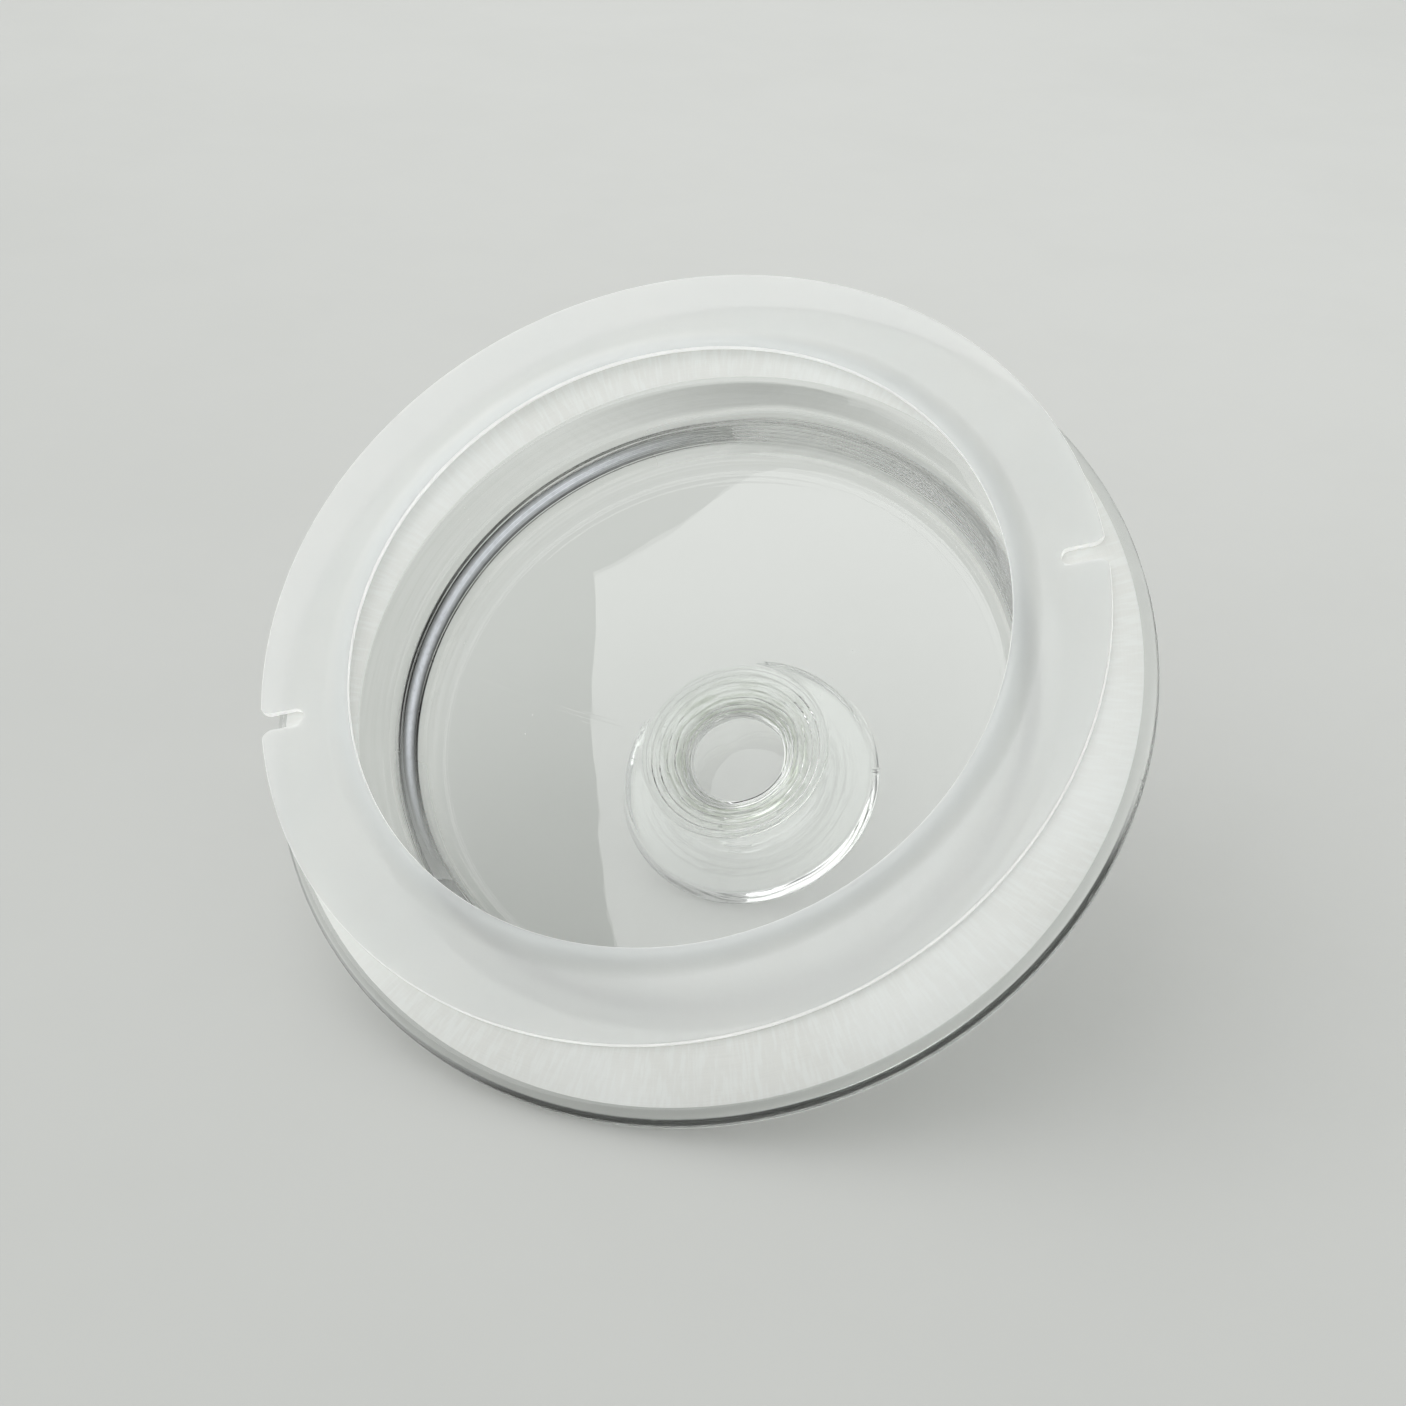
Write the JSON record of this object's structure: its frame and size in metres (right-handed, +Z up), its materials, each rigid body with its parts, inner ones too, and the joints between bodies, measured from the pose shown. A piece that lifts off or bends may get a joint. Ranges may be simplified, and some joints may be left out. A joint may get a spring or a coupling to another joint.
{
  "type": "desiccator lid",
  "caption": "clear glass desiccator lid resting opening-up on its flange rim and knob rim, with a loose milky notched ring gasket lying off centre on its ground flange",
  "frame": {"origin": "centre of the underside of the resting object's box, on the bench", "axes": "+Z up from the bench; +X left to right, parallel to the mouth's level diameter; +Y towards the side where the flange stands highest"},
  "size_m": [0.2424, 0.1928, 0.1517],
  "materials": {
    "clear_glass": "thick pressed glass, clear and faintly green in depth, with a matt ground flange face",
    "milky_rubber": "soft milky translucent rubber with a satin skin"
  },
  "bodies": {
    "lid": {"lid_bell": "clear_glass", "knob": "clear_glass"},
    "gasket": {"gasket": "milky_rubber"}
  },
  "joints": [
    {"name": "gasket_lift", "type": "slide", "parent": "lid", "child": "gasket", "axis": [0, -0.5953, 0.8035], "range_m": [0, 0.08]}
  ]
}
